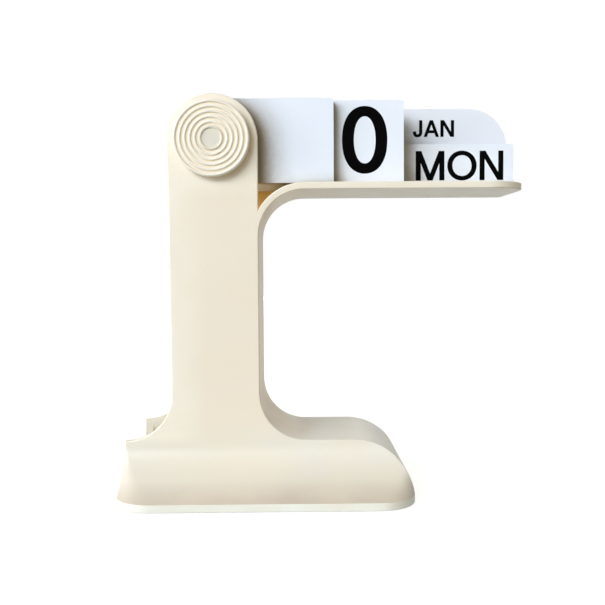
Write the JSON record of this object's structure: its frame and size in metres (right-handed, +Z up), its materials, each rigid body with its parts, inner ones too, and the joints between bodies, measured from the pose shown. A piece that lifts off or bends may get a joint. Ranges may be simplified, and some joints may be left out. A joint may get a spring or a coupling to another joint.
{
  "type": "perpetual desk calendar",
  "caption": "Free-standing desk calendar: a moulded C-shaped stand whose hollow column takes date cards that swing on a pin and lie on a shelf.",
  "frame": {"origin": "on the table, under the middle of the calendar's width and depth", "axes": "+X to the right seen from the front, towards the shelf's tip; +Y to the back; +Z up"},
  "size_m": [0.1682, 0.0902, 0.165],
  "materials": {
    "stand_plastic": "satin moulded cream plastic with a very fine grain",
    "card_plastic": "smooth white sheet plastic with a soft sheen",
    "spacer_plastic": "plain natural nylon",
    "steel": "plain drawn steel",
    "pad_rubber": "matt translucent grey anti-slip rubber"
  },
  "bodies": {
    "stand": {"stand": "stand_plastic", "base_plate": "stand_plastic", "pivot_pin": "steel", "front_ring_cap": "stand_plastic", "rear_ring_cap": "stand_plastic", "front_spacer": "spacer_plastic", "rear_spacer": "spacer_plastic", "base_screw_front_left": "steel", "foot_pad_front_left": "pad_rubber", "base_screw_rear_left": "steel", "foot_pad_rear_left": "pad_rubber", "base_screw_front_right": "steel", "foot_pad_front_right": "pad_rubber", "base_screw_rear_right": "steel", "foot_pad_rear_right": "pad_rubber"},
    "card_tens_blank": {"card_tens_blank": "card_plastic"},
    "card_tens_1": {"card_tens_1": "card_plastic"},
    "card_tens_2": {"card_tens_2": "card_plastic"},
    "card_tens_3": {"card_tens_3": "card_plastic"},
    "card_units_0": {"card_units_0": "card_plastic"},
    "card_units_1": {"card_units_1": "card_plastic"},
    "card_units_2": {"card_units_2": "card_plastic"},
    "card_units_3": {"card_units_3": "card_plastic"},
    "card_units_4": {"card_units_4": "card_plastic"},
    "card_units_5": {"card_units_5": "card_plastic"},
    "card_units_6": {"card_units_6": "card_plastic"},
    "card_units_7": {"card_units_7": "card_plastic"},
    "card_units_8": {"card_units_8": "card_plastic"},
    "card_units_9": {"card_units_9": "card_plastic"},
    "card_weekday_mon": {"card_weekday_mon": "card_plastic"},
    "card_weekday_tue": {"card_weekday_tue": "card_plastic"},
    "card_weekday_wed": {"card_weekday_wed": "card_plastic"},
    "card_weekday_thu": {"card_weekday_thu": "card_plastic"},
    "card_weekday_fri": {"card_weekday_fri": "card_plastic"},
    "card_weekday_sat": {"card_weekday_sat": "card_plastic"},
    "card_weekday_sun": {"card_weekday_sun": "card_plastic"},
    "card_month_jan": {"card_month_jan": "card_plastic"},
    "card_month_feb": {"card_month_feb": "card_plastic"},
    "card_month_mar": {"card_month_mar": "card_plastic"},
    "card_month_apr": {"card_month_apr": "card_plastic"},
    "card_month_may": {"card_month_may": "card_plastic"},
    "card_month_jun": {"card_month_jun": "card_plastic"},
    "card_month_jul": {"card_month_jul": "card_plastic"},
    "card_month_aug": {"card_month_aug": "card_plastic"},
    "card_month_sep": {"card_month_sep": "card_plastic"},
    "card_month_oct": {"card_month_oct": "card_plastic"},
    "card_month_nov": {"card_month_nov": "card_plastic"},
    "card_month_dec": {"card_month_dec": "card_plastic"}
  },
  "joints": [
    {"name": "swing_tens_blank", "type": "hinge", "parent": "stand", "child": "card_tens_blank", "pos_m": [-0.0448, 0, 0.1466], "axis": [0, -1, 0], "range_deg": [0, 266]},
    {"name": "swing_tens_1", "type": "hinge", "parent": "stand", "child": "card_tens_1", "pos_m": [-0.0448, 0, 0.1466], "axis": [0, -1, 0], "range_deg": [0, 266]},
    {"name": "swing_tens_2", "type": "hinge", "parent": "stand", "child": "card_tens_2", "pos_m": [-0.0448, 0, 0.1466], "axis": [0, -1, 0], "range_deg": [0, 266]},
    {"name": "swing_tens_3", "type": "hinge", "parent": "stand", "child": "card_tens_3", "pos_m": [-0.0448, 0, 0.1466], "axis": [0, -1, 0], "range_deg": [0, 266]},
    {"name": "swing_units_0", "type": "hinge", "parent": "stand", "child": "card_units_0", "pos_m": [-0.0448, 0, 0.1466], "axis": [0, -1, 0], "range_deg": [0, 266]},
    {"name": "swing_units_1", "type": "hinge", "parent": "stand", "child": "card_units_1", "pos_m": [-0.0448, 0, 0.1466], "axis": [0, -1, 0], "range_deg": [0, 266]},
    {"name": "swing_units_2", "type": "hinge", "parent": "stand", "child": "card_units_2", "pos_m": [-0.0448, 0, 0.1466], "axis": [0, -1, 0], "range_deg": [0, 266]},
    {"name": "swing_units_3", "type": "hinge", "parent": "stand", "child": "card_units_3", "pos_m": [-0.0448, 0, 0.1466], "axis": [0, -1, 0], "range_deg": [0, 266]},
    {"name": "swing_units_4", "type": "hinge", "parent": "stand", "child": "card_units_4", "pos_m": [-0.0448, 0, 0.1466], "axis": [0, -1, 0], "range_deg": [0, 266]},
    {"name": "swing_units_5", "type": "hinge", "parent": "stand", "child": "card_units_5", "pos_m": [-0.0448, 0, 0.1466], "axis": [0, -1, 0], "range_deg": [0, 266]},
    {"name": "swing_units_6", "type": "hinge", "parent": "stand", "child": "card_units_6", "pos_m": [-0.0448, 0, 0.1466], "axis": [0, -1, 0], "range_deg": [0, 266]},
    {"name": "swing_units_7", "type": "hinge", "parent": "stand", "child": "card_units_7", "pos_m": [-0.0448, 0, 0.1466], "axis": [0, -1, 0], "range_deg": [0, 266]},
    {"name": "swing_units_8", "type": "hinge", "parent": "stand", "child": "card_units_8", "pos_m": [-0.0448, 0, 0.1466], "axis": [0, -1, 0], "range_deg": [0, 266]},
    {"name": "swing_units_9", "type": "hinge", "parent": "stand", "child": "card_units_9", "pos_m": [-0.0448, 0, 0.1466], "axis": [0, -1, 0], "range_deg": [0, 266]},
    {"name": "swing_weekday_mon", "type": "hinge", "parent": "stand", "child": "card_weekday_mon", "pos_m": [-0.0448, 0, 0.1466], "axis": [0, -1, 0], "range_deg": [0, 266]},
    {"name": "swing_weekday_tue", "type": "hinge", "parent": "stand", "child": "card_weekday_tue", "pos_m": [-0.0448, 0, 0.1466], "axis": [0, -1, 0], "range_deg": [0, 266]},
    {"name": "swing_weekday_wed", "type": "hinge", "parent": "stand", "child": "card_weekday_wed", "pos_m": [-0.0448, 0, 0.1466], "axis": [0, -1, 0], "range_deg": [0, 266]},
    {"name": "swing_weekday_thu", "type": "hinge", "parent": "stand", "child": "card_weekday_thu", "pos_m": [-0.0448, 0, 0.1466], "axis": [0, -1, 0], "range_deg": [0, 266]},
    {"name": "swing_weekday_fri", "type": "hinge", "parent": "stand", "child": "card_weekday_fri", "pos_m": [-0.0448, 0, 0.1466], "axis": [0, -1, 0], "range_deg": [0, 266]},
    {"name": "swing_weekday_sat", "type": "hinge", "parent": "stand", "child": "card_weekday_sat", "pos_m": [-0.0448, 0, 0.1466], "axis": [0, -1, 0], "range_deg": [0, 266]},
    {"name": "swing_weekday_sun", "type": "hinge", "parent": "stand", "child": "card_weekday_sun", "pos_m": [-0.0448, 0, 0.1466], "axis": [0, -1, 0], "range_deg": [0, 266]},
    {"name": "swing_month_jan", "type": "hinge", "parent": "stand", "child": "card_month_jan", "pos_m": [-0.0448, 0, 0.1466], "axis": [0, -1, 0], "range_deg": [0, 266]},
    {"name": "swing_month_feb", "type": "hinge", "parent": "stand", "child": "card_month_feb", "pos_m": [-0.0448, 0, 0.1466], "axis": [0, -1, 0], "range_deg": [0, 266]},
    {"name": "swing_month_mar", "type": "hinge", "parent": "stand", "child": "card_month_mar", "pos_m": [-0.0448, 0, 0.1466], "axis": [0, -1, 0], "range_deg": [0, 266]},
    {"name": "swing_month_apr", "type": "hinge", "parent": "stand", "child": "card_month_apr", "pos_m": [-0.0448, 0, 0.1466], "axis": [0, -1, 0], "range_deg": [0, 266]},
    {"name": "swing_month_may", "type": "hinge", "parent": "stand", "child": "card_month_may", "pos_m": [-0.0448, 0, 0.1466], "axis": [0, -1, 0], "range_deg": [0, 266]},
    {"name": "swing_month_jun", "type": "hinge", "parent": "stand", "child": "card_month_jun", "pos_m": [-0.0448, 0, 0.1466], "axis": [0, -1, 0], "range_deg": [0, 266]},
    {"name": "swing_month_jul", "type": "hinge", "parent": "stand", "child": "card_month_jul", "pos_m": [-0.0448, 0, 0.1466], "axis": [0, -1, 0], "range_deg": [0, 266]},
    {"name": "swing_month_aug", "type": "hinge", "parent": "stand", "child": "card_month_aug", "pos_m": [-0.0448, 0, 0.1466], "axis": [0, -1, 0], "range_deg": [0, 266]},
    {"name": "swing_month_sep", "type": "hinge", "parent": "stand", "child": "card_month_sep", "pos_m": [-0.0448, 0, 0.1466], "axis": [0, -1, 0], "range_deg": [0, 266]},
    {"name": "swing_month_oct", "type": "hinge", "parent": "stand", "child": "card_month_oct", "pos_m": [-0.0448, 0, 0.1466], "axis": [0, -1, 0], "range_deg": [0, 266]},
    {"name": "swing_month_nov", "type": "hinge", "parent": "stand", "child": "card_month_nov", "pos_m": [-0.0448, 0, 0.1466], "axis": [0, -1, 0], "range_deg": [0, 266]},
    {"name": "swing_month_dec", "type": "hinge", "parent": "stand", "child": "card_month_dec", "pos_m": [-0.0448, 0, 0.1466], "axis": [0, -1, 0], "range_deg": [0, 266]}
  ]
}
